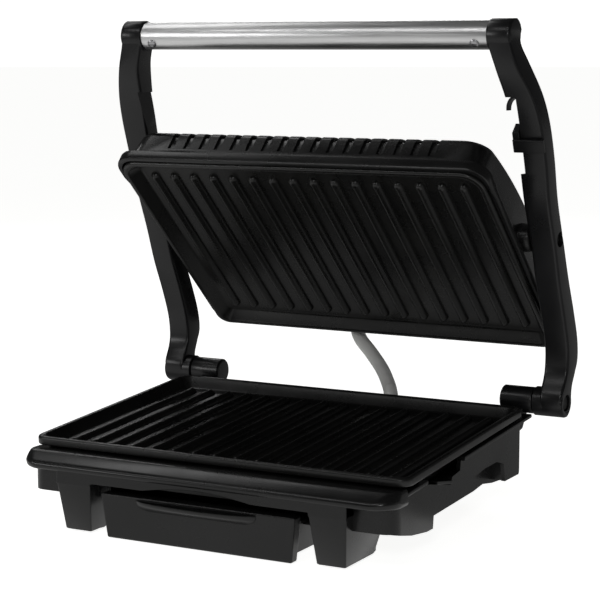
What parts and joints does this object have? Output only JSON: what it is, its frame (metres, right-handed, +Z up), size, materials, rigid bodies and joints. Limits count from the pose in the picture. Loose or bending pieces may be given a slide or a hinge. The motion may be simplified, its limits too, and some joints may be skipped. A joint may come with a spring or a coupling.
{
  "type": "panini press",
  "caption": "Open panini press: ribbed heating plates in a base and a lid hung between two arms with a steel bar handle, a drip tray and a wiring hose.",
  "frame": {"origin": "on the ground, at the centre of the footprint box", "axes": "+X to the user's right, +Y to the back, +Z up; the drip tray comes out along -Y"},
  "size_m": [0.2902, 0.2729, 0.2952],
  "materials": {
    "shell": "glossy black moulding",
    "arm": "satin black moulding",
    "coat": "black non-stick coating on die-cast aluminium",
    "steel": "brushed",
    "zinc": "zinc plated",
    "sheet": "bright sheet",
    "heater": "heat-darkened",
    "hose": "silver sleeved",
    "rubber": "matte",
    "ceramic": "white ceramic",
    "red": "clear red",
    "green": "clear green"
  },
  "bodies": {
    "base": {"base_housing": "shell", "lower_plate": "coat", "lower_heater": "heater", "lower_reflector": "sheet", "bottom_cover": "shell", "cover_screw_1": "zinc", "cover_screw_2": "zinc", "cover_screw_3": "zinc", "cover_screw_4": "zinc", "foot_front_left": "rubber", "foot_front_right": "rubber", "foot_rear_left": "rubber", "foot_rear_right": "rubber", "rear_cable_cover": "shell", "mains_inlet_gland": "rubber", "hose_gland_base": "rubber", "thermostat": "ceramic", "thermal_fuse": "zinc", "terminal_block": "ceramic", "left_hinge_block": "arm", "right_hinge_block": "arm", "left_hinge_pin": "zinc", "right_hinge_pin": "zinc", "wiring_hose": "hose"},
    "arms": {"left_arm": "arm", "right_arm": "arm", "handle_tube": "steel", "left_handle_screw": "zinc", "right_handle_screw": "zinc", "left_lid_pin": "zinc", "right_lid_pin": "zinc"},
    "lid": {"lid_housing": "shell", "lid_cable_cover": "shell", "hose_gland_lid": "rubber", "upper_plate": "coat", "upper_heater": "heater", "upper_reflector": "sheet", "power_lens": "red", "ready_lens": "green", "power_lamp": "ceramic", "ready_lamp": "ceramic"},
    "latch": {"latch_slider": "arm"},
    "tray": {"drip_tray": "shell"}
  },
  "joints": [
    {"name": "arm_hinge", "type": "hinge", "parent": "base", "child": "arms", "pos_m": [0, 0.0731, 0.0633], "axis": [1, 0, 0], "range_deg": [0, 71.2], "deforming": ["wiring_hose"]},
    {"name": "lid_pivot", "type": "hinge", "parent": "arms", "child": "lid", "pos_m": [0, 0.0517, 0.1657], "axis": [1, 0, 0], "range_deg": [-24.9, 0]},
    {"name": "tray_slide", "type": "slide", "parent": "base", "child": "tray", "axis": [0, -1, 0], "range_m": [0, 0.085]},
    {"name": "latch_slide", "type": "slide", "parent": "arms", "child": "latch", "axis": [0, -0.3502, 0.9367], "range_m": [-0.012, 0.012]}
  ],
  "couplings": [
    {"joint": "lid_pivot", "follows": "arm_hinge", "ratio": -0.3482}
  ]
}
